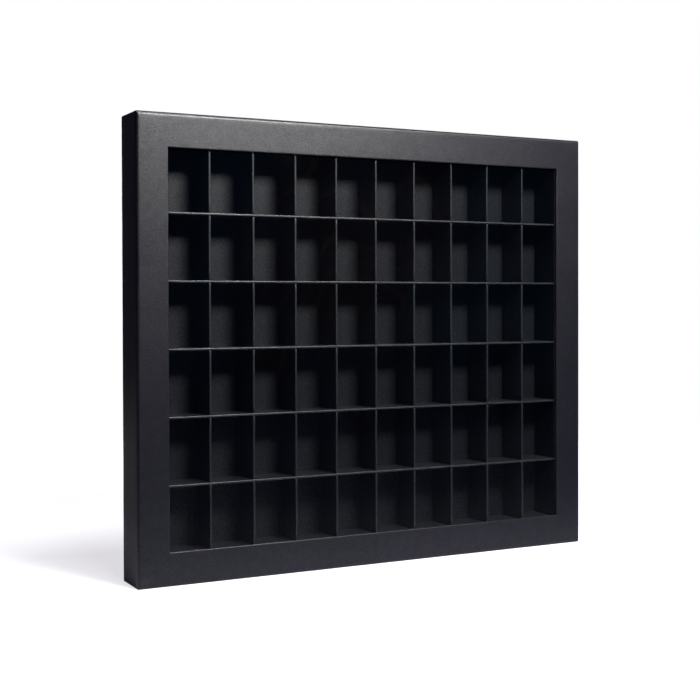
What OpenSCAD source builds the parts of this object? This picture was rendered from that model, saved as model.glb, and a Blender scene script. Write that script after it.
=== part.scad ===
// Compartment display box with a full-depth lift-off window lid.
// It stands upright on its long edge: +X is to the right, +Y goes into the box from
// its front, +Z is up. The origin is the middle of the resting edge. Millimetres.

/* [Box] */
// Overall width
box_w = 457; // [430:1:500]
// Overall height, as it stands
box_h = 400; // [385:1:430]
// Overall depth, front to back
box_d = 40; // [34:0.5:60]
// Radius of the long outer edges of the front
edge_r = 3; // [2.4:0.1:4]
// Radius of the four short corner edges of the lid and the base
corner_r = 1.4; // [1:0.1:2.2]

/* [Board and covering] */
// Thickness of the grey board in the lid and the base
board_t = 2; // [1.5:0.1:2.5]
// Thickness of the black covering
wrap_t = 0.3; // [0.2:0.05:0.35]
// Thickness of the paper stays on the corners
stay_t = 0.12; // [0.08:0.01:0.15]
// Reach of a stay along each wall from the corner
stay_reach = 12; // [8:1:18]
// How far the stays end short of the board's edges
stay_short = 1; // [0.5:0.1:3]
// Width of the covering that is turned in round the walls' free edges
turn_in = 14; // [8:1:18]
// Gap all round between the lid and the base
lid_gap = 0.5; // [0.3:0.1:1.2]

/* [Window] */
// Border at the left and at the right of the window
border_side = 28; // [20:0.5:32]
// Border above the window
border_top = 29.5; // [20:0.5:32]
// Border below the window
border_bottom = 29; // [20:0.5:32]
// Width of the covering's flaps behind the window's edges
flap_w = 12; // [9:0.5:14]
// Thickness of the clear pane
pane_t = 0.5; // [0.3:0.1:0.8]
// How far the pane reaches past the window's edge
pane_margin = 13; // [10:0.5:14]
// Thickness of the tape that holds the pane
tape_t = 0.2; // [0.1:0.05:0.3]
// Width of the tape
tape_w = 9; // [5:0.5:9]
// Distance from the window's edge to the tape
tape_inset = 1.5; // [1:0.1:3]

/* [Compartments] */
// Number of columns
columns = 10; // [4:1:12]
// Number of rows
rows = 6; // [2:1:8]
// Distance from one upright card to the next
column_pitch = 40.52; // [40:0.01:41]
// Distance from one shelf card to the next
row_pitch = 57.87; // [57:0.01:59]
// Thickness of the divider card
card_t = 1.9; // [1.2:0.1:2.2]
// Play of a slot across the card that sits in it
slot_play = 0.7; // [0.1:0.05:0.9]
// How much narrower the first and the last column are than the others
end_trim = 1.15; // [0:0.05:1.6]
// Depth of the dividers' front edges behind the front of the box
insert_setback = 3.8; // [3.6:0.1:6]
// Thickness of the card that lines the back
lining_t = 0.3; // [0.2:0.1:0.6]

/* [Hidden] */
$fn = 48;

past = 1; // how far a cutting solid runs past what it cuts
front_y = -box_d / 2;
back_y = box_d / 2;
mid_z = box_h / 2;

// Lid, from the outside in
lid_board_w = box_w - 2 * wrap_t;
lid_board_h = box_h - 2 * wrap_t;
lid_board_front_y = front_y + wrap_t;
lid_board_back_y = back_y - wrap_t;
lid_cavity_w = lid_board_w - 2 * board_t;
lid_cavity_h = lid_board_h - 2 * board_t;
lid_cavity_y = lid_board_front_y + board_t;
lid_stay_front_y = lid_board_front_y + edge_r;
window_w = box_w - 2 * border_side;
window_h = box_h - border_top - border_bottom;
window_z = border_bottom + window_h / 2;
flap_y = lid_cavity_y + wrap_t;
tape_y = flap_y + tape_t;
pane_y = tape_y + pane_t;

// Base, from the outside in
base_w = lid_cavity_w - 2 * wrap_t - 2 * lid_gap;
base_h = lid_cavity_h - 2 * wrap_t - 2 * lid_gap;
base_front_y = front_y + insert_setback;
base_board_w = base_w - 2 * wrap_t;
base_board_h = base_h - 2 * wrap_t;
base_board_front_y = base_front_y + wrap_t;
base_board_back_y = back_y - wrap_t;
back_board_y = base_board_back_y - board_t;
base_cavity_w = base_board_w - 2 * board_t;
base_cavity_h = base_board_h - 2 * board_t;
lining_y = back_board_y - lining_t;
filler_out_w = base_cavity_w - 2 * wrap_t;
filler_out_h = base_cavity_h - 2 * wrap_t;

// Grid of compartments
insert_w = columns * column_pitch + card_t - 2 * end_trim;
insert_h = rows * row_pitch + card_t;
insert_d = lining_y - base_front_y;
clear_w = insert_w - 2 * card_t;
clear_h = insert_h - 2 * card_t;
slot_w = card_t + slot_play;
slot_d = insert_d / 2 + slot_play / 2;

board_colour = "#6f6a62";
wrap_colour = "#2a292c";
card_colour = "#1d1e20";

function column_x(i) = (i - columns / 2) * column_pitch;
function row_z(i) = mid_z + (i - rows / 2) * row_pitch;

// A box from y0 to y1, centred on x = 0 and on the height z
module slab(w, h, y0, y1, z = mid_z) {
    translate([-w / 2, y0, z - h / 2])
        cube([w, y1 - y0, h]);
}

// Outline w wide and d deep whose two front corners are round
module front_round_outline(w, d, r) {
    translate([-w / 2, r])
        square([w, d - r]);
    translate([-w / 2 + r, 0])
        square([w - 2 * r, r]);
    for (side = [-1, 1])
        translate([side * (w / 2 - r), r])
            circle(r);
}

// Rectangle with four round corners
module round_rectangle(w, h, r) {
    square([w, h - 2 * r], center = true);
    square([w - 2 * r, h], center = true);
    for (sx = [-1, 1], sz = [-1, 1])
        translate([sx * (w / 2 - r), sz * (h / 2 - r)])
            circle(r);
}

// A slab whose four short edges along Y are round
module corner_round_slab(w, h, y0, y1, r) {
    translate([0, y1, mid_z])
        rotate([90, 0, 0])
            linear_extrude(y1 - y0)
                round_rectangle(w, h, r);
}

// The same slab with its long front edges round as well
module round_slab(w, h, y0, y1, r_edge, r_corner) {
    intersection() {
        corner_round_slab(w, h, y0, y1, r_corner);
        translate([0, y0, mid_z - h / 2 - past])
            linear_extrude(h + 2 * past)
                front_round_outline(w, y1 - y0, r_edge);
        translate([-w / 2 - past, y0, mid_z])
            rotate([0, 90, 0])
                linear_extrude(w + 2 * past)
                    front_round_outline(h, y1 - y0, r_edge);
    }
}

// ---- Lid ----

// All the lid's board as one block, not yet hollow
module lid_board_block() {
    round_slab(lid_board_w, lid_board_h, lid_board_front_y, lid_board_back_y,
        edge_r - wrap_t, corner_r - wrap_t);
}

module lid_cavity() {
    slab(lid_cavity_w, lid_cavity_h, lid_cavity_y, back_y + past);
}

// The window, larger all round by grow
module window_hole(grow, y0, y1) {
    slab(window_w + 2 * grow, window_h + 2 * grow, y0, y1, window_z);
}

module lid_face_board() {
    color(board_colour)
        difference() {
            lid_board_block();
            slab(box_w + past, box_h + past, lid_cavity_y, back_y + past);
            window_hole(wrap_t, front_y - past, lid_cavity_y + past);
        }
}

// The lid's skirt, kept where zone is
module lid_skirt() {
    difference() {
        lid_board_block();
        slab(box_w + past, box_h + past, front_y - past, lid_cavity_y);
        lid_cavity();
    }
}

// A zone that holds one long wall: side is 1 above and -1 below
module long_wall_zone(cavity_h, side) {
    translate([0, 0, side * (cavity_h + 2 * board_t) / 2])
        slab(box_w + past, 2 * board_t, front_y - past, back_y + past);
}

// A zone that holds one short wall: side is 1 at the right and -1 at the left
module short_wall_zone(cavity_w, cavity_h, side) {
    translate([side * (cavity_w + 2 * board_t) / 2, 0, 0])
        slab(2 * board_t, cavity_h, front_y - past, back_y + past);
}

module lid_long_wall(side) {
    color(board_colour)
        intersection() {
            lid_skirt();
            long_wall_zone(lid_cavity_h, side);
        }
}

module lid_short_wall(side) {
    color(board_colour)
        intersection() {
            lid_skirt();
            short_wall_zone(lid_cavity_w, lid_cavity_h, side);
        }
}

// Paper folded round one corner of a block of board
module corner_stay(board_w, board_h, y0, y1, side_x, side_z) {
    intersection() {
        difference() {
            corner_round_slab(board_w + 2 * stay_t, board_h + 2 * stay_t, y0, y1,
                corner_r - wrap_t + stay_t);
            corner_round_slab(board_w, board_h, y0 - past, y1 + past, corner_r - wrap_t);
        }
        translate([side_x * board_w / 2, 0, mid_z + side_z * board_h / 2])
            cube([2 * stay_reach, 2 * box_d, 2 * stay_reach], center = true);
    }
}

module lid_stay(side_x, side_z) {
    color("#8c8475")
        corner_stay(lid_board_w, lid_board_h, lid_stay_front_y, lid_board_back_y - stay_short,
            side_x, side_z);
}

module lid_wrap() {
    color(wrap_colour)
        difference() {
            round_slab(box_w, box_h, front_y, back_y, edge_r, corner_r);
            difference() {
                lid_board_block();
                window_hole(wrap_t, front_y, lid_cavity_y + past);
            }
            difference() {
                lid_cavity();
                // flaps behind the face, round the window
                window_hole(flap_w, lid_cavity_y, flap_y);
                // turned in round the skirt's free edges
                difference() {
                    slab(lid_cavity_w, lid_cavity_h, back_y - turn_in, back_y);
                    slab(lid_cavity_w - 2 * wrap_t, lid_cavity_h - 2 * wrap_t,
                        back_y - turn_in - past, back_y + past);
                }
            }
            window_hole(0, front_y - past, flap_y + past);
            for (side_x = [-1, 1], side_z = [-1, 1])
                lid_stay(side_x, side_z);
        }
}

module window_pane() {
    color([0.8, 0.85, 0.9, 0.3])
        window_hole(pane_margin, tape_y, pane_y);
}

// Tape along one edge of the window: side is 1 above and -1 below
module long_pane_tape(side) {
    color("#b9b4a8")
        translate([0, 0, side * (window_h / 2 + tape_inset + tape_w / 2)])
            slab(window_w + 2 * tape_inset + 2 * tape_w, tape_w, flap_y, tape_y, window_z);
}

// Tape along one edge of the window: side is 1 at the right and -1 at the left
module short_pane_tape(side) {
    color("#b9b4a8")
        translate([side * (window_w / 2 + tape_inset + tape_w / 2), 0, 0])
            slab(tape_w, window_h + 2 * tape_inset, flap_y, tape_y, window_z);
}

// ---- Base ----

module back_board() {
    color(board_colour)
        corner_round_slab(base_board_w, base_board_h, back_board_y, base_board_back_y,
            corner_r - wrap_t);
}

module base_skirt() {
    difference() {
        corner_round_slab(base_board_w, base_board_h, base_board_front_y, back_board_y,
            corner_r - wrap_t);
        slab(base_cavity_w, base_cavity_h, base_board_front_y - past, back_board_y + past);
    }
}

module base_long_wall(side) {
    color(board_colour)
        intersection() {
            base_skirt();
            long_wall_zone(base_cavity_h, side);
        }
}

module base_short_wall(side) {
    color(board_colour)
        intersection() {
            base_skirt();
            short_wall_zone(base_cavity_w, base_cavity_h, side);
        }
}

module base_stay(side_x, side_z) {
    color("#8c8475")
        corner_stay(base_board_w, base_board_h, base_board_front_y + stay_short,
            base_board_back_y - stay_short, side_x, side_z);
}

module base_wrap() {
    color(wrap_colour)
        difference() {
            corner_round_slab(base_w, base_h, base_front_y, back_y, corner_r);
            corner_round_slab(base_board_w, base_board_h, base_board_front_y, base_board_back_y,
                corner_r - wrap_t);
            slab(filler_out_w, filler_out_h, base_front_y - past, back_board_y);
            for (side_x = [-1, 1], side_z = [-1, 1])
                base_stay(side_x, side_z);
        }
    // turned in over the walls' inner faces
    color(wrap_colour)
        difference() {
            slab(base_cavity_w, base_cavity_h, base_front_y, base_front_y + turn_in);
            slab(filler_out_w, filler_out_h, base_front_y - past, base_front_y + turn_in + past);
        }
}

module back_lining() {
    color(card_colour)
        slab(filler_out_w, filler_out_h, lining_y, back_board_y);
}

// Filler along the top (side 1) or the bottom (side -1)
module long_filler(side) {
    color("#232326")
        translate([0, 0, side * (filler_out_h + insert_h) / 4])
            slab(filler_out_w, (filler_out_h - insert_h) / 2, base_front_y, lining_y);
}

// Filler along the right (side 1) or the left (side -1)
module short_filler(side) {
    color("#232326")
        translate([side * (filler_out_w + insert_w) / 4, 0, 0])
            slab((filler_out_w - insert_w) / 2, insert_h, base_front_y, lining_y);
}

// Outer card above (side 1) or below (side -1) the grid
module long_insert_wall(side) {
    color(card_colour)
        translate([0, 0, side * (insert_h - card_t) / 2])
            slab(insert_w, card_t, base_front_y, lining_y);
}

// Outer card at the right (side 1) or the left (side -1) of the grid
module short_insert_wall(side) {
    color(card_colour)
        translate([side * (insert_w - card_t) / 2, 0, 0])
            slab(card_t, clear_h, base_front_y, lining_y);
}

// Upright card with a slot in its front edge for each shelf card
module upright_divider(i) {
    color(card_colour)
        translate([column_x(i), 0, 0])
            difference() {
                slab(card_t, clear_h, base_front_y, lining_y);
                for (k = [1:rows - 1])
                    slab(card_t + past, slot_w, base_front_y - past, base_front_y + slot_d, row_z(k));
            }
}

// Shelf card with a slot in its back edge for each upright card
module shelf_divider(i) {
    color(card_colour)
        difference() {
            slab(clear_w, card_t, base_front_y, lining_y, row_z(i));
            for (k = [1:columns - 1])
                translate([column_x(k), 0, 0])
                    slab(slot_w, card_t + past, lining_y - slot_d, lining_y + past, row_z(i));
        }
}

lid_face_board();
lid_long_wall(1);  // lid_wall_top
lid_long_wall(-1);  // lid_wall_bottom
lid_short_wall(-1);  // lid_wall_left
lid_short_wall(1);  // lid_wall_right
lid_stay(-1, 1);  // lid_stay_top_left
lid_stay(1, 1);  // lid_stay_top_right
lid_stay(-1, -1);  // lid_stay_bottom_left
lid_stay(1, -1);  // lid_stay_bottom_right
lid_wrap();
window_pane();
long_pane_tape(1);  // pane_tape_top
long_pane_tape(-1);  // pane_tape_bottom
short_pane_tape(-1);  // pane_tape_left
short_pane_tape(1);  // pane_tape_right
back_board();
base_long_wall(1);  // base_wall_top
base_long_wall(-1);  // base_wall_bottom
base_short_wall(-1);  // base_wall_left
base_short_wall(1);  // base_wall_right
base_stay(-1, 1);  // base_stay_top_left
base_stay(1, 1);  // base_stay_top_right
base_stay(-1, -1);  // base_stay_bottom_left
base_stay(1, -1);  // base_stay_bottom_right
base_wrap();
back_lining();
long_filler(1);  // filler_top
long_filler(-1);  // filler_bottom
short_filler(-1);  // filler_left
short_filler(1);  // filler_right
long_insert_wall(1);  // insert_wall_top
long_insert_wall(-1);  // insert_wall_bottom
short_insert_wall(-1);  // insert_wall_left
short_insert_wall(1);  // insert_wall_right
for (i = [1:columns - 1])
    upright_divider(i);
for (i = [1:rows - 1])
    shelf_divider(i);
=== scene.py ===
import math

import bmesh
import bpy
from mathutils import Matrix, Vector, noise


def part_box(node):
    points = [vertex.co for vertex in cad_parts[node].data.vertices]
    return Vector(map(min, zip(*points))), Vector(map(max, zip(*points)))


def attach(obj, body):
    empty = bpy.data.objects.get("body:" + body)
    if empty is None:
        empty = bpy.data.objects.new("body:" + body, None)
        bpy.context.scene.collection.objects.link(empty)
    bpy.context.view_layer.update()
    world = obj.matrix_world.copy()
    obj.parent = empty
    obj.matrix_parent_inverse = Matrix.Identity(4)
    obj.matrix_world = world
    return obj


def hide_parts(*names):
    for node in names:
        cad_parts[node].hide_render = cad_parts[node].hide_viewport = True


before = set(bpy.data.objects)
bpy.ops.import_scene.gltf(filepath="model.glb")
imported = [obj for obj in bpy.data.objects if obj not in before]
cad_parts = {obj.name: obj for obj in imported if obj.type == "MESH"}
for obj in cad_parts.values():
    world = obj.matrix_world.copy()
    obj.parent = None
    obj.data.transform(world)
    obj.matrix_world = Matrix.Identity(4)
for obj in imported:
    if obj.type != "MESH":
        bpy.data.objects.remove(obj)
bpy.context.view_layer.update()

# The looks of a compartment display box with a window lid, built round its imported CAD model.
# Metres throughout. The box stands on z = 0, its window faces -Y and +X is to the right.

MM = 0.001
SEED = 1                         # for noise_vector, which takes its offsets from the clock without one

# ---------------------------------------------------------------- sizes, read from the frame

outer_low, outer_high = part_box("lid_wrap")
face_low, face_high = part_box("lid_face_board")
base_low, base_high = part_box("base_wrap")
back_low, back_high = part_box("back_board")
filler_low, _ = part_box("filler_bottom")
_, filler_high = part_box("filler_top")
pane_low, pane_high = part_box("window_pane")

TAPE_INSET = 1.5 * MM            # from the window's edge to the tape behind it
TURN_IN = 14 * MM                # covering turned in round the walls' free edges
FLAP = 12 * MM                   # covering turned back behind the window's edges
EDGE_DEPTH = 3 * MM              # rounding of the lid's long front edges, front to back
EDGE_SIDE = 2.3 * MM             # how far it reaches in from the left and the right
EDGE_TOP = 3.2 * MM              # how far it reaches in from the top and the bottom
CORNER_RADIUS = 1.4 * MM         # short corner edges of the lid and the base
LIP_RADIUS = 0.6 * MM            # covering where it turns into the window
REAR_RADIUS = 0.5 * MM           # covering where it turns round a wall's free edge
UNDERCUT = 0.2 * MM              # the window's left and right sides lean outward behind the lip
SLOT_PLAY = 0.7 * MM             # play of a slot across the card that sits in it

wrap = face_low.y - outer_low.y
board = face_high.y - face_low.y
flap_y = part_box("pane_tape_top")[0].y
window = (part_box("pane_tape_left")[1].x + TAPE_INSET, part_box("pane_tape_right")[0].x - TAPE_INSET,
          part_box("pane_tape_bottom")[1].z + TAPE_INSET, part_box("pane_tape_top")[0].z - TAPE_INSET)
uprights = [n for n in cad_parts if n.startswith("upright_divider_")]
shelves = [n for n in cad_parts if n.startswith("shelf_divider_")]
upright_xs = sorted(sum(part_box(n)[i].x for i in (0, 1)) / 2 for n in uprights)
shelf_zs = sorted(sum(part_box(n)[i].z for i in (0, 1)) / 2 for n in shelves)

FLOOR_REFLECTION_RISE = 120 * MM             # how far the painted reflection of the floor reaches up the pane
# a brownish patch of painted reflection on the pane lies round this place
REFLECTION_PATCH_PLACE = (window[0] + 0.43 * (window[1] - window[0]), pane_low.y,
                window[2] + 0.73 * (window[3] - window[2]))
REFLECTION_PATCH_CORE = 40 * MM            # the painted reflection patch is full this near its middle
REFLECTION_PATCH_REACH = 150 * MM          # and has faded out this far from it


# ---------------------------------------------------------------- materials

class Shader:
    """A node material being put together."""

    def __init__(self, name):
        self.material = bpy.data.materials.new(name)
        self.material.use_nodes = True
        self.tree = self.material.node_tree
        self.tree.nodes.clear()
        self.place = self.add("ShaderNodeTexCoord").outputs["Object"]

    def add(self, kind, inputs=None, **settings):
        node = self.tree.nodes.new(kind)
        for key, value in settings.items():
            setattr(node, key, value)
        for key, value in (inputs or {}).items():
            if isinstance(value, bpy.types.NodeSocket):
                self.tree.links.new(value, node.inputs[key])
            else:
                node.inputs[key].default_value = value
        return node

    def stretched(self, scale):
        """Object coordinates with each axis scaled."""
        return self.add("ShaderNodeMapping", {"Vector": self.place, "Scale": scale}).outputs["Vector"]

    def noise(self, scale, detail=3.0, rough=0.55, place=None):
        return self.add("ShaderNodeTexNoise", {"Vector": place or self.place, "Scale": scale,
                                               "Detail": detail, "Roughness": rough}).outputs["Fac"]

    def remap(self, value, low, high, new_low, new_high):
        return self.add("ShaderNodeMapRange", {"Value": value, "From Min": low, "From Max": high,
                                               "To Min": new_low, "To Max": new_high}).outputs["Result"]

    def maths(self, operation, a, b=0.0):
        return self.add("ShaderNodeMath", {0: a, 1: b}, operation=operation).outputs[0]

    def distance(self, point):
        """Distance from a point of the object's space."""
        return self.add("ShaderNodeVectorMath", {0: self.place, 1: point},
                        operation="DISTANCE").outputs["Value"]

    def along(self, direction):
        """How far a place lies along a direction, from the origin."""
        return self.add("ShaderNodeVectorMath", {0: self.place, 1: direction},
                        operation="DOT_PRODUCT").outputs["Value"]

    def mix(self, factor, a, b):
        node = self.add("ShaderNodeMix", {"Factor": factor}, data_type="RGBA")
        for socket, colour in (("A", a), ("B", b)):
            target = [i for i in node.inputs if i.name == socket and i.type == "RGBA"][0]
            if isinstance(colour, bpy.types.NodeSocket):
                self.tree.links.new(colour, target)
            else:
                target.default_value = (*colour, 1.0)
        return [o for o in node.outputs if o.type == "RGBA"][0]

    def bump(self, height, depth, strength=1.0, after=None):
        inputs = {"Height": height, "Distance": depth, "Strength": strength}
        if after is not None:
            inputs["Normal"] = after
        return self.add("ShaderNodeBump", inputs).outputs["Normal"]

    def edges(self):
        """1 on sharp convex edges, where handling wears a surface, and 0 elsewhere."""
        pointiness = self.add("ShaderNodeNewGeometry").outputs["Pointiness"]
        return self.remap(pointiness, 0.505, 0.56, 0.0, 1.0)

    def finish(self, colour, rough, normal, **extra):
        """Ends the material in one Principled surface; extra inputs are named with _ for a space."""
        inputs = {"Base Color": colour, "Roughness": rough, "Normal": normal}
        inputs.update({key.replace("_", " "): value for key, value in extra.items()})
        surface = self.add("ShaderNodeBsdfPrincipled", inputs)
        self.output(surface.outputs["BSDF"])
        return self.material

    def output(self, socket):
        self.tree.links.new(socket, self.add("ShaderNodeOutputMaterial").inputs["Surface"])
        return self.material


def covering_material():
    """Black covering paper with a fine pressed grain, satin."""
    s = Shader("covering_paper")
    blotch = s.noise(28.0, 2.0)
    mottle = s.noise(850.0, 2.0, 0.6)
    patches = s.noise(140.0, 2.0)
    pebbles = s.noise(520.0, 2.0, 0.5)
    pores = s.noise(1500.0, 2.0, 0.5)
    tone = s.mix(s.remap(blotch, 0.35, 0.65, 0.0, 1.0),
                 (0.0056, 0.0055, 0.0099), (0.0066, 0.0064, 0.0113))
    tone = s.mix(s.remap(pores, 0.4, 0.75, 0.0, 0.35), tone, (0.012, 0.012, 0.017))
    tone = s.mix(s.maths("MULTIPLY", s.edges(), 0.35), tone, (0.030, 0.029, 0.033))
    rough = s.remap(s.maths("ADD", blotch, pores), 0.7, 1.3, 0.307, 0.343)
    gleam = s.remap(mottle, 0.3, 0.7, 0.30, 0.70)
    gleam = s.maths("MULTIPLY", gleam, s.remap(patches, 0.3, 0.7, 0.90, 1.10))
    grain = s.bump(pores, 0.07 * MM, 0.7)
    grain = s.bump(pebbles, 0.12 * MM, 0.55, grain)
    return s.finish(tone, rough, grain, Specular_IOR_Level=gleam)


def card_material(name, dark, light, roughness, fibre=0.5, sheen=0.45):
    """Dyed black card with short fibres: its two tones, its range of roughness, fibre relief and sheen."""
    s = Shader(name)
    cloud = s.noise(60.0, 3.0)
    fibres = s.noise(900.0, 4.0, 0.6, s.stretched((1.0, 1.0, 0.35)))
    speck = s.noise(2600.0, 2.0, 0.6)
    mottle = s.noise(850.0, 2.0, 0.6)
    tone = s.mix(s.remap(s.maths("ADD", cloud, mottle), 0.7, 1.3, 0.0, 1.0), dark, light)
    tone = s.mix(s.remap(fibres, 0.5, 0.8, 0.0, 0.5), tone, tuple(1.5 * c for c in light))
    rough = s.remap(speck, 0.3, 0.7, *roughness)
    normal = s.bump(speck, 0.03 * MM, fibre)
    normal = s.bump(fibres, 0.05 * MM, fibre, normal)
    gleam = s.remap(mottle, 0.3, 0.7, 0.6 * sheen, 1.4 * sheen)
    return s.finish(tone, rough, normal, Specular_IOR_Level=gleam)


def board_material():
    """Raw board inside the lid and the base, dyed near black, with pressed fibres."""
    s = Shader("board")
    fibres = s.noise(350.0, 5.0, 0.65, s.stretched((0.4, 1.0, 1.0)))
    flecks = s.add("ShaderNodeTexVoronoi", {"Vector": s.place, "Scale": 420.0}).outputs["Distance"]
    tone = s.mix(s.remap(fibres, 0.35, 0.7, 0.0, 1.0), (0.050, 0.047, 0.043), (0.085, 0.080, 0.073))
    tone = s.mix(s.remap(flecks, 0.0, 0.12, 0.6, 0.0), tone, (0.16, 0.15, 0.13))
    normal = s.bump(fibres, 0.08 * MM, 0.6)
    return s.finish(tone, s.remap(fibres, 0.3, 0.7, 0.78, 0.92), normal)


def kraft_material():
    """Gummed paper of the corner stays."""
    s = Shader("stay_paper")
    fibres = s.noise(700.0, 4.0, 0.6, s.stretched((1.0, 0.25, 1.0)))
    tone = s.mix(fibres, (0.20, 0.135, 0.075), (0.36, 0.26, 0.16))
    return s.finish(tone, s.remap(fibres, 0.3, 0.7, 0.55, 0.75), s.bump(fibres, 0.04 * MM, 0.5))


def tape_material():
    """Thin double-sided tape."""
    s = Shader("pane_tape")
    streaks = s.noise(300.0, 3.0, 0.5, s.stretched((0.2, 1.0, 1.0)))
    tone = s.mix(streaks, (0.30, 0.29, 0.25), (0.44, 0.42, 0.37))
    return s.finish(tone, s.remap(streaks, 0.3, 0.7, 0.35, 0.5), s.bump(streaks, 0.02 * MM, 0.4))


def foam_material():
    """Fine-celled black foam of the filler strips."""
    s = Shader("filler_foam")
    cells = s.add("ShaderNodeTexVoronoi", {"Vector": s.place, "Scale": 900.0}).outputs["Distance"]
    cloud = s.noise(70.0, 3.0)
    tone = s.mix(s.remap(cells, 0.0, 0.6, 0.0, 1.0), (0.012, 0.012, 0.013), (0.030, 0.030, 0.032))
    tone = s.mix(s.remap(cloud, 0.4, 0.7, 0.0, 0.4), tone, (0.036, 0.036, 0.038))
    return s.finish(tone, s.remap(cells, 0.0, 0.6, 0.85, 0.95), s.bump(cells, 0.25 * MM, 0.8))


def pane_material():
    """Clear plastic sheet: a faint gloss that ripples a little, under a haze of dust with painted
    reflections in it.
    """
    s = Shader("clear_pane")
    ripple = s.noise(9.0, 2.0, 0.5)
    smear = s.noise(35.0, 4.0, 0.6)
    normal = s.bump(ripple, 0.9 * MM, 0.25)
    clear = s.add("ShaderNodeBsdfTransparent", {"Color": (0.975, 0.98, 0.985, 1.0)})
    gloss = s.add("ShaderNodeBsdfGlossy", {"Color": (1.0, 1.0, 1.0, 1.0), "Normal": normal,
                                           "Roughness": s.remap(smear, 0.4, 0.7, 0.02, 0.06)})
    fresnel = s.add("ShaderNodeFresnel", {"IOR": 1.35, "Normal": normal}).outputs["Fac"]
    share = s.maths("MULTIPLY", fresnel, 0.12)
    sheet = s.add("ShaderNodeMixShader", {0: share, 1: clear.outputs[0], 2: gloss.outputs[0]})
    haze = s.add("ShaderNodeBsdfDiffuse", {"Color": pane_haze_colour(s)})
    sheet_with_haze = s.add("ShaderNodeAddShader", {0: sheet.outputs[0], 1: haze.outputs[0]})
    return s.output(sheet_with_haze.outputs[0])


def pane_haze_colour(s):
    """Colour of the haze: an uneven film of dust, a painted reflection of the floor that grows towards the
    bottom, and a brownish patch of painted reflection with curved streaks.
    """
    film = s.remap(s.noise(11.0, 3.0, 0.5), 0.35, 0.65, 0.0, 1.0)
    dust_and_reflections = s.mix(film, (0.00008, 0.00022, 0.0006), (0.00030, 0.00065, 0.0013))
    # painted reflection of the pale floor: the haze grows lighter towards the window's bottom edge
    height = s.add("ShaderNodeSeparateXYZ", {"Vector": s.place}).outputs["Z"]
    floor_reflection = s.remap(height, window[2], window[2] + FLOOR_REFLECTION_RISE, 1.0, 0.0)
    dust_and_reflections = s.mix(floor_reflection, dust_and_reflections, (0.0013, 0.0014, 0.0021))
    # painted reflection: a brownish patch with a ragged edge, mixed into the haze
    uneven = s.maths("ADD", s.distance(REFLECTION_PATCH_PLACE), s.remap(film, 0.0, 1.0, -0.03, 0.03))
    reflection_patch = s.remap(uneven, REFLECTION_PATCH_CORE, REFLECTION_PATCH_REACH, 1.0, 0.0)
    dust_and_reflections = s.mix(s.maths("MULTIPLY", reflection_patch, 0.25), dust_and_reflections, (0.0022, 0.0012, 0.0011))
    # painted reflections: curved brownish streaks along the contours of a slow noise, inside the patch
    waves = s.maths("SINE", s.maths("MULTIPLY", s.noise(6.0, 1.0, 0.4), 46.0))
    streak_reflections = s.remap(s.maths("ABSOLUTE", waves), 0.0, 0.25, 1.0, 0.0)
    streak_reflections = s.maths("MULTIPLY", s.maths("MULTIPLY", streak_reflections, reflection_patch), 0.8)
    return s.mix(streak_reflections, dust_and_reflections, (0.0022, 0.0014, 0.0012))


covering = covering_material()
card = card_material("black_card", (0.0045, 0.0052, 0.0072), (0.0060, 0.0068, 0.0092), (0.50, 0.58))
# painted shade: the left and right outer cards get a darker, duller card than the others, so that the right
# wall stays dark though the key's grazing light reaches it
outer_card = card_material("outer_card", (0.0009, 0.0015, 0.0030), (0.0015, 0.0022, 0.0040), (0.60, 0.68),
                           sheen=0.15)
card_cut = card_material("cut_card_edge", (0.0085, 0.0105, 0.0130), (0.0135, 0.0160, 0.0195), (0.33, 0.42),
                         fibre=0.8)
shelf_cut = card_material("cut_shelf_edge", (0.004, 0.006, 0.008), (0.008, 0.011, 0.014), (0.34, 0.42),
                          fibre=0.8, sheen=0.90)
lining = card_material("lining_card", (0.0030, 0.0042, 0.0065), (0.0042, 0.0056, 0.0085), (0.44, 0.52))
raw_board = board_material()
kraft = kraft_material()
tape = tape_material()
foam = foam_material()
clear_pane = pane_material()


# ---------------------------------------------------------------- meshes

noise.seed_set(SEED)


def make_piece(name, points, faces, materials, body, node):
    """A mesh piece that rides on a CAD body and stands for one CAD node."""
    build = bmesh.new()
    corners = [build.verts.new(p) for p in points]
    for face in faces:
        build.faces.new([corners[i] for i in face])
    bmesh.ops.remove_doubles(build, verts=build.verts, dist=MERGE)
    bmesh.ops.recalc_face_normals(build, faces=build.faces)
    mesh = bpy.data.meshes.new(name)
    build.to_mesh(mesh)
    build.free()
    return finish_piece(name, mesh, materials, body, node, PAPER_CREASE)


def finish_piece(name, mesh, materials, body, node, crease):
    """Gives a mesh its materials and smooth shading, links it to the scene, sets it on its body and hides
    the CAD node that it stands for.
    """
    for material in materials:
        mesh.materials.append(material)
    mesh.polygons.foreach_set("use_smooth", [True] * len(mesh.polygons))
    mesh.set_sharp_from_angle(angle=math.radians(crease))
    mesh.update()
    piece = bpy.data.objects.new(name, mesh)
    bpy.context.scene.collection.objects.link(piece)
    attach(piece, body)
    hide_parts(node)
    return piece


SIDE_STEPS = 46
CORNER_STEPS = 5
SHARPEST = 0.12 * MM             # even a sharp corner of folded paper has this radius
MERGE = 0.001 * MM               # points closer than this are one point
BACK_MARGIN = 20 * MM            # from the back's edges to the grid that fills its middle
PAPER_CREASE = 38.0              # degrees: paper that bends more than this shades as an edge
CUT_CREASE = 50.0                # degrees: the same for card and foam with cut edges
UNEVENNESS = 0.07 * MM           # of paper that is laid by hand


def shrunk(rectangle, inset, inset_z=None):
    """A rectangle moved in on all sides, by another amount at its top and bottom if one is given."""
    x0, x1, z0, z1 = rectangle
    rise = inset if inset_z is None else inset_z
    return (x0 + inset, x1 - inset, z0 + rise, z1 - rise)


def between(a, b, share):
    """The rectangle that lies a share of the way from a to b."""
    return tuple(p + (q - p) * share for p, q in zip(a, b))


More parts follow.
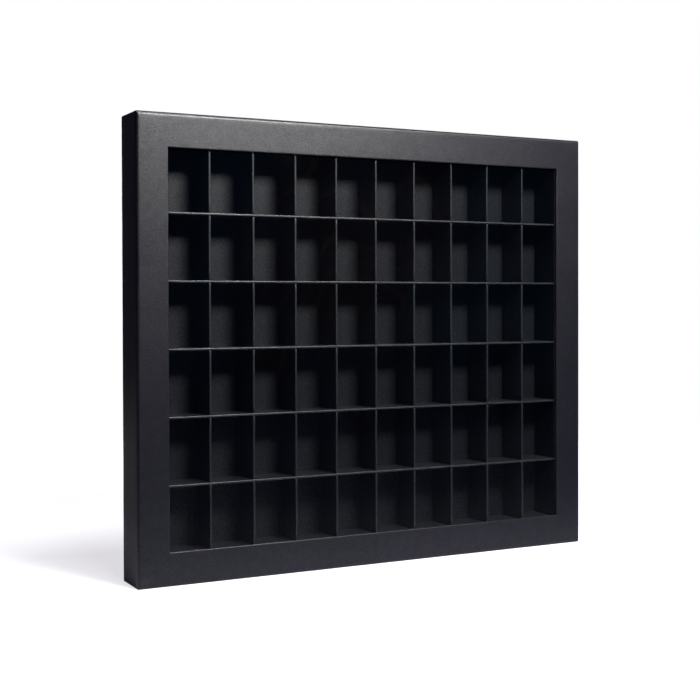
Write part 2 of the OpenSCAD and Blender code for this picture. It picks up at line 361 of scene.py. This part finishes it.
def ring(rectangle, radius, y):
    """Points round a rectangle at depth y, with round corners, or square ones for a radius of 0."""
    x0, x1, z0, z1 = rectangle
    if radius:
        radius = max(radius, SHARPEST)
    centres = [(x1 - radius, z1 - radius), (x0 + radius, z1 - radius),
               (x0 + radius, z0 + radius), (x1 - radius, z0 + radius)]
    arcs = []
    for quarter, (cx, cz) in enumerate(centres):
        turns = [math.radians(90 * (quarter + k / CORNER_STEPS)) for k in range(CORNER_STEPS + 1)]
        arcs.append([Vector((cx + radius * math.cos(t), y, cz + radius * math.sin(t))) for t in turns])
    points = []
    for quarter, arc in enumerate(arcs):
        after = arcs[(quarter + 1) % 4][0]
        points += arc
        points += [arc[-1].lerp(after, k / SIDE_STEPS) for k in range(1, SIDE_STEPS)]
    return points


def skin(rings, closed):
    """Quads between neighbouring rings; closed joins the last ring to the first as well."""
    count = len(rings[0])
    points = [p for r in rings for p in r]
    faces = []
    for a in range(len(rings) if closed else len(rings) - 1):
        b = (a + 1) % len(rings)
        for k in range(count):
            n = (k + 1) % count
            faces.append((a * count + k, a * count + n, b * count + n, b * count + k))
    return points, faces


def add_panel(points, faces, rectangle, y):
    """Adds a grid that fills a ring of square corners round the rectangle."""
    x0, x1, z0, z1 = rectangle
    first = len(points)
    for i in range(SIDE_STEPS + 1):
        for j in range(SIDE_STEPS + 1):
            points.append(Vector((x0 + (x1 - x0) * i / SIDE_STEPS, y, z0 + (z1 - z0) * j / SIDE_STEPS)))
    for i in range(SIDE_STEPS):
        for j in range(SIDE_STEPS):
            a = first + i * (SIDE_STEPS + 1) + j
            faces.append((a, a + 1, a + SIDE_STEPS + 2, a + SIDE_STEPS + 1))


def hand_laid(points, amount, low, high):
    """Paper laid by hand: moves points a little, and never outside the box from low to high."""
    moved = []
    for p in points:
        shift = noise.noise_vector(p * 45.0) * amount + noise.noise_vector(p * 160.0) * amount * 0.4
        q = p + shift
        moved.append(Vector(min(max(q[i], low[i]), high[i]) for i in range(3)))
    return moved


def quarter_turn(steps):
    """Pairs of (1 - cos, 1 - sin) along a quarter circle, for rounding an edge."""
    for k in range(steps + 1):
        t = math.radians(90 * k / steps)
        yield 1 - math.cos(t), 1 - math.sin(t)


def lid_covering():
    """One sheet over the lid's front and sides, turned in round the window and the rear edges."""
    outer = (outer_low.x, outer_high.x, outer_low.z, outer_high.z)
    front, rear = outer_low.y, outer_high.y
    inner_edge = EDGE_DEPTH - wrap
    rings = []
    for share in (0.0, 0.33, 0.66):
        y = rear - REAR_RADIUS + (front + EDGE_DEPTH - rear + REAR_RADIUS) * share
        rings.append(ring(outer, CORNER_RADIUS, y))
    for inward, forward in quarter_turn(8):
        rings.append(ring(shrunk(outer, EDGE_SIDE * inward, EDGE_TOP * inward),
                          CORNER_RADIUS - EDGE_SIDE * inward, front + EDGE_DEPTH * forward))
    flat_from, flat_to = shrunk(outer, EDGE_SIDE, EDGE_TOP), shrunk(window, -LIP_RADIUS)
    for share in (0.08, 0.3, 0.6, 0.85, 0.97):
        rings.append(ring(between(flat_from, flat_to, share), 0.0, front))
    for down, across in quarter_turn(4):
        # the lip turns from the front face into the window
        lip = shrunk(window, -LIP_RADIUS * across)
        rings.append(ring(lip, LIP_RADIUS * 0.5, front + LIP_RADIUS * down))
    rings.append(ring(shrunk(window, -UNDERCUT, 0.0), SHARPEST, flap_y - SHARPEST))
    rings.append(ring(shrunk(window, -UNDERCUT - SHARPEST, -SHARPEST), SHARPEST, flap_y))
    rings.append(ring(shrunk(window, -FLAP), SHARPEST, flap_y))
    rings.append(ring(shrunk(window, -FLAP), SHARPEST, flap_y - wrap))
    rings.append(ring(shrunk(window, -wrap), SHARPEST, flap_y - wrap))
    rings.append(ring(shrunk(window, -wrap), SHARPEST, front + wrap))
    for across, back in reversed(list(quarter_turn(4))):
        inner = shrunk(outer, wrap + (EDGE_SIDE - wrap) * across, wrap + (EDGE_TOP - wrap) * across)
        rings.append(ring(inner, CORNER_RADIUS - wrap, front + wrap + inner_edge * back))
    for inset, y in ((wrap, rear - wrap), (wrap + board, rear - wrap), (wrap + board, rear - TURN_IN),
                     (2 * wrap + board, rear - TURN_IN), (2 * wrap + board, rear - SHARPEST),
                     (2 * wrap + board - SHARPEST, rear)):
        rings.append(ring(shrunk(outer, inset), CORNER_RADIUS - inset, y))
    for inward, backward in reversed(list(quarter_turn(3))[1:]):
        rings.append(ring(shrunk(outer, REAR_RADIUS * inward), CORNER_RADIUS - REAR_RADIUS * inward,
                          rear - REAR_RADIUS * backward))
    points, faces = skin(rings, closed=True)
    points = hand_laid(points, UNEVENNESS, outer_low, outer_high)
    make_piece("lid_covering", points, faces, [covering], "lid", "lid_wrap")


def base_covering():
    """One sheet over the base's back and sides, turned in over the walls' front edges."""
    outer = (base_low.x, base_high.x, base_low.z, base_high.z)
    inner = (filler_low.x, filler_high.x, filler_low.z, filler_high.z)
    front, rear = base_low.y, base_high.y
    back_radius = 1.0 * MM
    middle = shrunk(outer, BACK_MARGIN)
    rings = [ring(middle, 0.0, rear)]
    for inset in (6, 2):
        rings.append(ring(shrunk(outer, inset * MM), 0.0, rear))
    for across, back in reversed(list(quarter_turn(4))):
        rings.append(ring(shrunk(outer, back_radius * across), CORNER_RADIUS - back_radius * across,
                          rear - back_radius * back))
    for share in (0.3, 0.6):
        rings.append(ring(outer, CORNER_RADIUS, rear + (front - rear) * share))
    for inward, forward in quarter_turn(3):
        rings.append(ring(shrunk(outer, REAR_RADIUS * inward), CORNER_RADIUS - REAR_RADIUS * inward,
                          front + REAR_RADIUS * forward))
    rings.append(ring(shrunk(inner, -SHARPEST), SHARPEST, front))
    rings.append(ring(inner, SHARPEST, front + SHARPEST))
    rings.append(ring(inner, SHARPEST, front + TURN_IN))
    rings.append(ring(shrunk(inner, -wrap), SHARPEST, front + TURN_IN))
    rings.append(ring(shrunk(inner, -wrap), SHARPEST, front + wrap))
    rings.append(ring(shrunk(outer, wrap), CORNER_RADIUS - wrap, front + wrap))
    rings.append(ring(shrunk(outer, wrap), CORNER_RADIUS - wrap, rear - wrap))
    rings.append(ring(middle, 0.0, rear - wrap))
    points, faces = skin(rings, closed=False)
    add_panel(points, faces, middle, rear)
    add_panel(points, faces, middle, rear - wrap)
    points = hand_laid(points, UNEVENNESS, base_low, base_high)
    make_piece("base_covering", points, faces, [covering], "base", "base_wrap")


def stops(low, high, step, marks=()):
    """Places from low to high, no further apart than step, with every mark among them."""
    fixed = sorted({low, high, *marks})
    places = []
    for a, b in zip(fixed, fixed[1:]):
        pieces = max(1, math.ceil((b - a) / step - 1e-6))
        places += [a + (b - a) * k / pieces for k in range(pieces)]
    return places + [high]


CARD_STEP = 7 * MM               # size of a card's mesh cells
UPRIGHT_BOW = 0.45 * MM          # most that an upright card's front edge bows between two crossings
SHELF_BOW = 0.15 * MM
UPRIGHT_ROUND = 0.4 * MM         # rounding of the cards' cut edges
SHELF_ROUND = 0.5 * MM
OUTER_ROUND = 0.2 * MM


def card_plate(name, node, along, slots, slots_at_front, flat, cut, softness, bend):
    """A die-cut card that runs along X or Z, with slots, soft cut edges and a slight bend.

    flat and cut are the materials of its faces and of its cut edges. softness is the edges' rounding.
    """
    low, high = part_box(node)
    long_axis = "xyz".index(along)
    thin_axis = 2 - long_axis
    depth = high.y - low.y
    half_slot = (high[thin_axis] - low[thin_axis] + SLOT_PLAY) / 2
    slot_deep = depth / 2 + SLOT_PLAY / 2
    slot_end = low.y + slot_deep if slots_at_front else high.y - slot_deep
    marks = [s + side * half_slot for s in slots for side in (-1, 1)]
    ls = stops(low[long_axis], high[long_axis], CARD_STEP, marks)
    ys = stops(low.y, high.y, CARD_STEP, [slot_end])
    build = bmesh.new()
    made = {}

    def corner(i, j, side):
        if (i, j, side) not in made:
            place = [0.0, ys[j], 0.0]
            place[long_axis] = ls[i]
            place[thin_axis] = (low, high)[side][thin_axis]
            made[i, j, side] = build.verts.new(place)
        return made[i, j, side]

    def solid(i, j):
        if not (0 <= i < len(ls) - 1 and 0 <= j < len(ys) - 1):
            return False
        middle, y = (ls[i] + ls[i + 1]) / 2, (ys[j] + ys[j + 1]) / 2
        in_slot = any(abs(middle - s) < half_slot for s in slots)
        return not (in_slot and (y < slot_end) == slots_at_front)

    for i in range(len(ls) - 1):
        for j in range(len(ys) - 1):
            if not solid(i, j):
                continue
            square = [(i, j), (i + 1, j), (i + 1, j + 1), (i, j + 1)]
            build.faces.new([corner(*c, 0) for c in square])
            build.faces.new([corner(*c, 1) for c in reversed(square)])
            beyond = [(i, j - 1), (i + 1, j), (i, j + 1), (i - 1, j)]
            for k, next_cell in enumerate(beyond):
                if not solid(*next_cell):
                    a, b = square[k], square[(k + 1) % 4]
                    build.faces.new([corner(*a, 1), corner(*b, 1), corner(*b, 0), corner(*a, 0)])
    bmesh.ops.recalc_face_normals(build, faces=build.faces)
    sharp = [e for e in build.edges if e.calc_face_angle(0.0) > 1.0]
    bmesh.ops.bevel(build, geom=sharp, offset=softness, offset_type="OFFSET", segments=4,
                    profile=0.5, affect="EDGES")
    build.normal_update()
    for face in build.faces:
        face.material_index = 0 if abs(face.normal[thin_axis]) > 0.8 else 1
    for v in build.verts:
        v.co[thin_axis] += bend(v.co[long_axis], (v.co.y - low.y) / depth)
    mesh = bpy.data.meshes.new(name)
    build.to_mesh(mesh)
    build.free()
    finish_piece(name, mesh, [flat, cut], "base", node, CUT_CREASE)


def bow_between(marks, sizes):
    """A bend that is zero at each mark and bows by its own size between marks, most at the front."""

    def bend(place, depth_share):
        for (a, b), size in zip(zip(marks, marks[1:]), sizes):
            if a <= place <= b:
                return size * math.sin(math.pi * (place - a) / (b - a)) * (1 - depth_share) ** 1.3
        return 0.0

    return bend


def dividers():
    """The slotted cards and the four outer cards round them."""
    low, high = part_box("insert_wall_left")[0].z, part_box("insert_wall_left")[1].z
    marks = [low, *shelf_zs, high]
    for i, node in enumerate(sorted(uprights)):
        sizes = [UPRIGHT_BOW * noise.noise(Vector((3.7 * i, 5.1 * k, 1.3))) for k in range(len(marks) - 1)]
        card_plate(f"upright_card_{i + 1}", node, "z", shelf_zs, True, card, card_cut, UPRIGHT_ROUND,
                   bow_between(marks, sizes))
    low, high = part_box("insert_wall_top")[0].x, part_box("insert_wall_top")[1].x
    marks = [low, *upright_xs, high]
    for i, node in enumerate(sorted(shelves)):
        sizes = [SHELF_BOW * noise.noise(Vector((2.9 * i, 4.3 * k, 7.7))) for k in range(len(marks) - 1)]
        card_plate(f"shelf_card_{i + 1}", node, "x", upright_xs, False, card, shelf_cut, SHELF_ROUND,
                   bow_between(marks, sizes))
    # the left and right outer cards take the darker card, which is painted shade on the side walls
    for side, along, flat in (("top", "x", card), ("bottom", "x", card), ("left", "z", outer_card),
                              ("right", "z", outer_card)):
        card_plate(f"outer_card_{side}", f"insert_wall_{side}", along, [], True, flat, card_cut, OUTER_ROUND,
                   lambda place, depth_share: 0.0)


FOAM_ROUND = 0.9 * MM
FOAM_CELLS = 40                  # cuts along a strip, so that its faces can be uneven
FOAM_UNEVENNESS = 0.12 * MM


def in_fixed_order(build):
    """The faces as sorted lists of corners, each from its lowest one. Subdividing starts them anywhere."""
    build.verts.index_update()
    faces = []
    for face in build.faces:
        corners = [v.index for v in face.verts]
        start = corners.index(min(corners))
        faces.append(corners[start:] + corners[:start])
    return sorted(faces)


def filler_strips():
    """Foam strips with soft cut edges."""
    for side in ("top", "bottom", "left", "right"):
        node = f"filler_{side}"
        low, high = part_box(node)
        build = bmesh.new()
        bmesh.ops.create_cube(build, size=1.0)
        for v in build.verts:
            v.co = Vector((low[i] if v.co[i] < 0 else high[i]) for i in range(3))
        bmesh.ops.bevel(build, geom=build.edges[:], offset=FOAM_ROUND, offset_type="OFFSET", segments=3,
                        profile=0.6, affect="EDGES")
        long_edges = [e for e in build.edges if e.calc_length() > 40 * MM]
        bmesh.ops.subdivide_edges(build, edges=long_edges, cuts=FOAM_CELLS, use_grid_fill=True)
        for v in build.verts:
            shift = noise.noise_vector(v.co * 90.0) * FOAM_UNEVENNESS
            v.co = Vector(min(max(v.co[i] + shift[i], low[i]), high[i]) for i in range(3))
        mesh = bpy.data.meshes.new(f"foam_strip_{side}")
        mesh.from_pydata([v.co for v in build.verts], [], in_fixed_order(build))
        build.free()
        finish_piece(f"foam_strip_{side}", mesh, [foam], "base", node, CUT_CREASE)


def dress_cad_nodes():
    """The CAD pieces that keep their own shape get their materials."""
    finishes = {"lid_stay": kraft, "base_stay": kraft, "pane_tape": tape, "window_pane": clear_pane,
                "back_lining": lining}
    for name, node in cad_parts.items():
        chosen = next((m for start, m in finishes.items() if name.startswith(start)), raw_board)
        node.data.materials.clear()
        node.data.materials.append(chosen)


lid_covering()
base_covering()
dividers()
filler_strips()
dress_cad_nodes()


# ---------------------------------------------------------------- stage, light and camera

LEFT_REAR = (-1.0, 1.0, 0.0)      # the part of the floor that the box's left side mirrors
SHADOW_LINE = (-0.8, 1.3, 0.0)    # across the edge of the shadow at the box's left; the floor's glow rises past it, painted light over the shadow's rear part


def stage_floor():
    """A pale floor round the object that fades into the white surround.

    The camera sees it pale everywhere. The light that it sends back comes from two patches only, one at
    the left rear and one close round the box that fades out toward the front.
    """
    bpy.ops.mesh.primitive_plane_add(size=8.0, location=(0, 0, 0))
    floor = bpy.context.object
    floor.name = "studio_floor"
    s = Shader("pale_floor")
    seen = s.add("ShaderNodeLightPath").outputs["Is Camera Ray"]
    away = s.distance((0.0, 0.0, 0.0))
    from_rear = s.distance(LEFT_REAR)
    forward = s.add("ShaderNodeSeparateXYZ", {"Vector": s.place}).outputs["Y"]
    rear_patch = s.remap(from_rear, 0.95, 1.45, 0.22, 0.0)
    front_patch = s.maths("MULTIPLY", s.remap(forward, -0.36, -0.03, 0.0, 0.55),
                          s.remap(away, 0.30, 0.60, 1.0, 0.0))
    sent = s.maths("MAXIMUM", rear_patch, front_patch)
    bounce = s.add("ShaderNodeCombineColor", {"Red": sent, "Green": sent,
                                              "Blue": s.maths("MULTIPLY", sent, 1.15)}).outputs[0]
    tone = s.mix(s.noise(60.0, 2.0), (0.80, 0.80, 0.81), (0.84, 0.84, 0.85))
    paper = s.add("ShaderNodeBsdfDiffuse", {"Color": s.mix(seen, bounce, tone)})
    backfill = s.remap(from_rear, 0.4, 1.4, 0.10, 0.0)
    # painted light: the glow that the camera sees rises across SHADOW_LINE, over the rear part of the box's
    # shadow, and rises again far out where the floor goes white
    bright = s.maths("MAXIMUM", s.remap(s.along(SHADOW_LINE), 0.42, 0.56, 0.70, 0.80),
                     s.remap(away, 0.45, 0.75, 0.70, 1.05))
    strength = s.add("ShaderNodeMix", {0: seen, 2: backfill, 3: bright}).outputs[0]
    glow = s.add("ShaderNodeEmission", {"Color": (0.985, 0.965, 1.0, 1.0), "Strength": strength})
    lit = s.add("ShaderNodeAddShader", {0: paper.outputs[0], 1: glow.outputs[0]})
    gone = s.add("ShaderNodeBsdfTransparent")
    fade = s.maths("MULTIPLY", s.remap(away, 0.75, 1.4, 0.0, 1.0), seen)
    surface = s.add("ShaderNodeMixShader", {0: fade, 1: lit.outputs[0], 2: gone.outputs[0]})
    floor.data.materials.append(s.output(surface.outputs[0]))


def surround():
    """White where the camera sees it. It sends the object a dim light, a little more of it from behind."""
    world = bpy.data.worlds.new("studio")
    bpy.context.scene.world = world
    world.use_nodes = True
    nodes, links = world.node_tree.nodes, world.node_tree.links
    nodes.clear()
    seen = nodes.new("ShaderNodeBackground")
    seen.inputs["Color"].default_value = (1.0, 1.0, 1.0, 1.0)
    dim = nodes.new("ShaderNodeBackground")
    dim.inputs["Color"].default_value = (0.62, 0.66, 1.0, 1.0)
    toward = nodes.new("ShaderNodeVectorMath")
    toward.operation = "DOT_PRODUCT"
    toward.inputs[1].default_value = (-0.46, 0.88, 0.12)   # to the rear, a little left and up
    links.new(nodes.new("ShaderNodeTexCoord").outputs["Generated"], toward.inputs[0])
    strength = nodes.new("ShaderNodeMapRange")
    for socket, value in (("From Min", 0.6), ("From Max", 1.0), ("To Min", 0.018), ("To Max", 0.044)):
        strength.inputs[socket].default_value = value
    links.new(toward.outputs["Value"], strength.inputs["Value"])
    links.new(strength.outputs["Result"], dim.inputs["Strength"])
    path = nodes.new("ShaderNodeLightPath")
    mixed = nodes.new("ShaderNodeMixShader")
    links.new(path.outputs["Is Camera Ray"], mixed.inputs[0])
    links.new(dim.outputs[0], mixed.inputs[1])
    links.new(seen.outputs[0], mixed.inputs[2])
    links.new(mixed.outputs[0], nodes.new("ShaderNodeOutputWorld").inputs["Surface"])


def soft_light(name, place, aim, width, height, power, colour, shape="RECTANGLE"):
    """A soft box that faces the point aim. Its power is in watts."""
    data = bpy.data.lights.new(name, "AREA")
    data.shape = shape
    data.size, data.size_y = width, height
    data.energy = power
    data.color = colour
    light = bpy.data.objects.new(name, data)
    light.location = place
    light.rotation_euler = (Vector(aim) - Vector(place)).to_track_quat("-Z", "Y").to_euler()
    bpy.context.scene.collection.objects.link(light)
    return light


def flagged(light, pieces, state):
    """A light held off some pieces, or kept to them, as a studio does with flags."""
    group = bpy.data.collections.new(f"{light.name}_flags")
    for piece in pieces:
        group.objects.link(piece)
    for entry in group.collection_objects:
        entry.light_linking.link_state = state
    light.light_linking.receiver_collection = group


def camera():
    """The photograph's angle: from the left of the window, a little above mid height."""
    heading, tilt, roll = math.radians(27.409), math.radians(-0.747), math.radians(-0.154)
    data = bpy.data.cameras.new("camera")
    data.sensor_width = 36.0
    data.lens = 65.22
    data.shift_y = -0.0437
    data.clip_start, data.clip_end = 0.01, 50.0
    eye = bpy.data.objects.new("camera", data)
    turn = Matrix.Rotation(-heading, 4, "Z") @ Matrix.Rotation(math.radians(90) + tilt, 4, "X")
    eye.matrix_world = Matrix.Translation((-0.5562, -1.0366, 0.2393)) @ turn @ Matrix.Rotation(roll, 4, "Z")
    bpy.context.scene.collection.objects.link(eye)
    bpy.context.scene.camera = eye


WARM = (1.0, 0.985, 0.97)
COOL = (0.97, 0.98, 1.0)

stage_floor()
surround()
lid_sheet, base_sheet = bpy.data.objects["lid_covering"], bpy.data.objects["base_covering"]
soft_light("key", (0.115, -0.78, 0.81), (0, 0, 0.2), 0.36, 0.24, 10.9, WARM, "ELLIPSE")
far_right = soft_light("far_right", (0.94, -2.07, 0.91), (0, 0, 0.1), 0.5, 0.5, 9.4, WARM)
flagged(far_right, [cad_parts["back_lining"]], "EXCLUDE")
top_right = soft_light("top_right", (0.95, -1.35, 1.90), (0, 0, 0.4), 0.5, 0.3, 19.0, WARM)
flagged(top_right, [lid_sheet], "INCLUDE")
soft_light("overhead", (-0.03, -0.58, 1.6), (0, 0, 0), 0.5, 0.4, 12.0, COOL)
rear = soft_light("behind", (0.35, 1.60, 0.45), (0, 0, 0.2), 1.0, 0.7, 22.0, COOL)
flagged(rear, [lid_sheet, base_sheet], "INCLUDE")
rear_wide = soft_light("backdrop", (0, 1.60, 0.60), (0, 0, 0.2), 2.6, 0.8, 60.0, COOL)
flagged(rear_wide, [base_sheet], "INCLUDE")
camera()
bpy.context.scene.view_settings.view_transform = "Standard"
